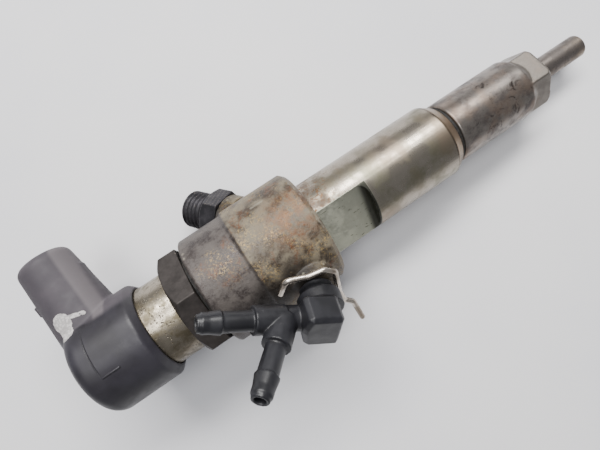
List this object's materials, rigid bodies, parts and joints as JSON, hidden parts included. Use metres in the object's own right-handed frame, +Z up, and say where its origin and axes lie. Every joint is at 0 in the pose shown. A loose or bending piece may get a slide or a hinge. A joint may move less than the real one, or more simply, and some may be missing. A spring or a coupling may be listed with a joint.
{
  "type": "fuel injector",
  "caption": "Slim diesel fuel injector with a rounded plastic head, side socket, forged steel body, angled inlet union, barbed return tee and nozzle nut.",
  "frame": {"origin": "on the injector's axis at the end face of the nozzle nut, which seals in the cylinder head", "axes": "+X along the axis towards the nozzle tip, +Z up as the injector lies on a bench, +Y towards the inlet and the socket"},
  "size_m": [0.1738, 0.0624, 0.0562],
  "materials": {
    "cap_plastic": "moulded, slight sheen",
    "tee_plastic": "moulded, slight sheen",
    "terminal_metal": "tinned",
    "seal_rubber": "matte",
    "tube_steel": "satin, pitted",
    "black_nut": "blackened",
    "black_oxide": "blackened",
    "body_steel": "satin body, stained and rusted head",
    "nut_steel": "heat-stained",
    "nozzle_steel": "heat-stained",
    "ground_steel": "ground",
    "spring_steel": "drawn wire",
    "clip_wire": "bright drawn wire",
    "ceramic": "fired ceramic"
  },
  "bodies": {
    "injector": {"connector_cap": "cap_plastic", "connector_terminals": "terminal_metal", "cap_seal": "seal_rubber", "actuator_tube": "tube_steel", "actuator_head": "ceramic", "piezo_stack": "ceramic", "piezo_tube_spring": "spring_steel", "actuator_hex_nut": "black_nut", "actuator_seal": "seal_rubber", "injector_body": "body_steel", "inlet_fitting": "black_oxide", "inlet_filter": "ground_steel", "valve_spring": "spring_steel", "valve_seat_plate": "ground_steel", "valve_guide": "ground_steel", "throttle_plate": "ground_steel", "locating_pins": "ground_steel", "needle_spring": "spring_steel", "nozzle_body": "nozzle_steel", "nozzle_cap_nut": "nut_steel", "nut_seal_ring": "seal_rubber"},
    "needle": {"nozzle_needle": "ground_steel", "spring_seat": "ground_steel", "control_piston": "ground_steel"},
    "valve": {"control_valve": "ground_steel", "valve_piston": "ground_steel", "transmission_levers": "ground_steel"},
    "actuator": {"actuator_plunger": "ground_steel"},
    "return_tee": {"return_connector": "tee_plastic", "return_seal": "seal_rubber"},
    "clip": {"retaining_clip": "clip_wire"}
  },
  "joints": [
    {"name": "needle_lift", "type": "slide", "parent": "injector", "child": "needle", "axis": [-1, 0, 0], "range_m": [0, 0.00025], "stiffness_N_per_m": 2000},
    {"name": "piezo_stroke", "type": "slide", "parent": "injector", "child": "actuator", "axis": [1, 0, 0], "range_m": [0, 0.00004], "stiffness_N_per_m": 400},
    {"name": "valve_stroke", "type": "slide", "parent": "injector", "child": "valve", "axis": [1, 0, 0], "range_m": [0, 0.00006], "stiffness_N_per_m": 400},
    {"name": "tee_swivel", "type": "hinge", "parent": "injector", "child": "return_tee", "pos_m": [-0.08908, -0.01127, 0.00906], "axis": [-0.2656, -0.7514, 0.6041], "range_deg": [-8, 8]},
    {"name": "clip_release", "type": "slide", "parent": "return_tee", "child": "clip", "axis": [0.568, 0.3844, 0.7277], "range_m": [0, 0.004]}
  ],
  "couplings": [
    {"joint": "valve_stroke", "follows": "piezo_stroke", "ratio": 1.5}
  ]
}
